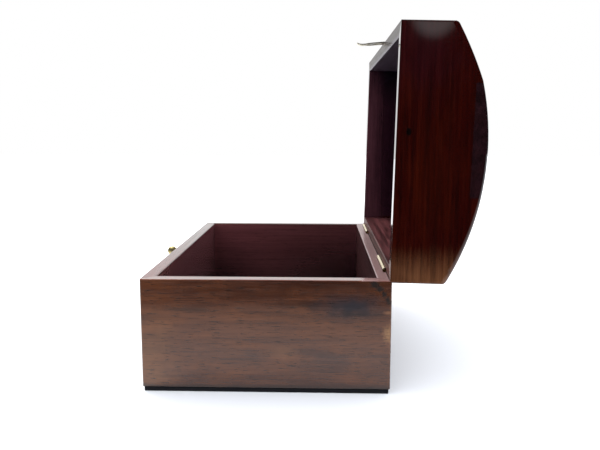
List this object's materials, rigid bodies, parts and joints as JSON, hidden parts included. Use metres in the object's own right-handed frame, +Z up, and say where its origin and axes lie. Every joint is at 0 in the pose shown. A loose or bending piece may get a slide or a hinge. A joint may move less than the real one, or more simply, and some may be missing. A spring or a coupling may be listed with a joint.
{
  "type": "domed wooden box",
  "caption": "Wooden box with a domed lid on brass butt hinges, closed by a brass hasp flap over a ball stud; stored open.",
  "frame": {"origin": "centre of the felt's underside, on the surface that the box stands on", "axes": "+Z up; +X along the length, to the right hand end seen from the front; -Y is the front with the hasp, +Y the back with the hinges"},
  "size_m": [0.28, 0.2495, 0.2585],
  "materials": {
    "base_wood": "polished rosewood, satin",
    "lid_wood": "polished rosewood, satin",
    "crown_wood": "polished dark rosewood, satin",
    "felt": "matt black felt",
    "brass": "plain polished brass"
  },
  "bodies": {
    "base": {"base_front_board": "base_wood", "base_back_board": "base_wood", "base_left_end": "base_wood", "base_right_end": "base_wood", "base_floor": "base_wood", "base_felt": "felt", "catch_stud": "brass", "right_hinge_base_leaf": "brass", "left_hinge_base_leaf": "brass", "right_hinge_pin": "brass", "left_hinge_pin": "brass", "base_hinge_screws": "brass"},
    "lid": {"lid_front_rail": "lid_wood", "lid_back_rail": "lid_wood", "lid_left_end": "lid_wood", "lid_right_end": "lid_wood", "lid_crown_board": "crown_wood", "lid_front_stave": "lid_wood", "lid_back_stave": "lid_wood", "right_hinge_lid_leaf": "brass", "left_hinge_lid_leaf": "brass", "lid_hinge_screws": "brass", "hasp_plate": "brass", "hasp_pin": "brass", "hasp_nails": "brass"},
    "hasp": {"hasp_flap": "brass"}
  },
  "joints": [
    {"name": "lid_hinge", "type": "hinge", "parent": "base", "child": "lid", "pos_m": [0, 0.08575, 0.08185], "axis": [1, 0, 0], "range_deg": [0, 91.2]},
    {"name": "hasp_swing", "type": "hinge", "parent": "lid", "child": "hasp", "pos_m": [0, 0.09957, 0.25685], "axis": [-1, 0, 0], "range_deg": [0, 160]}
  ]
}
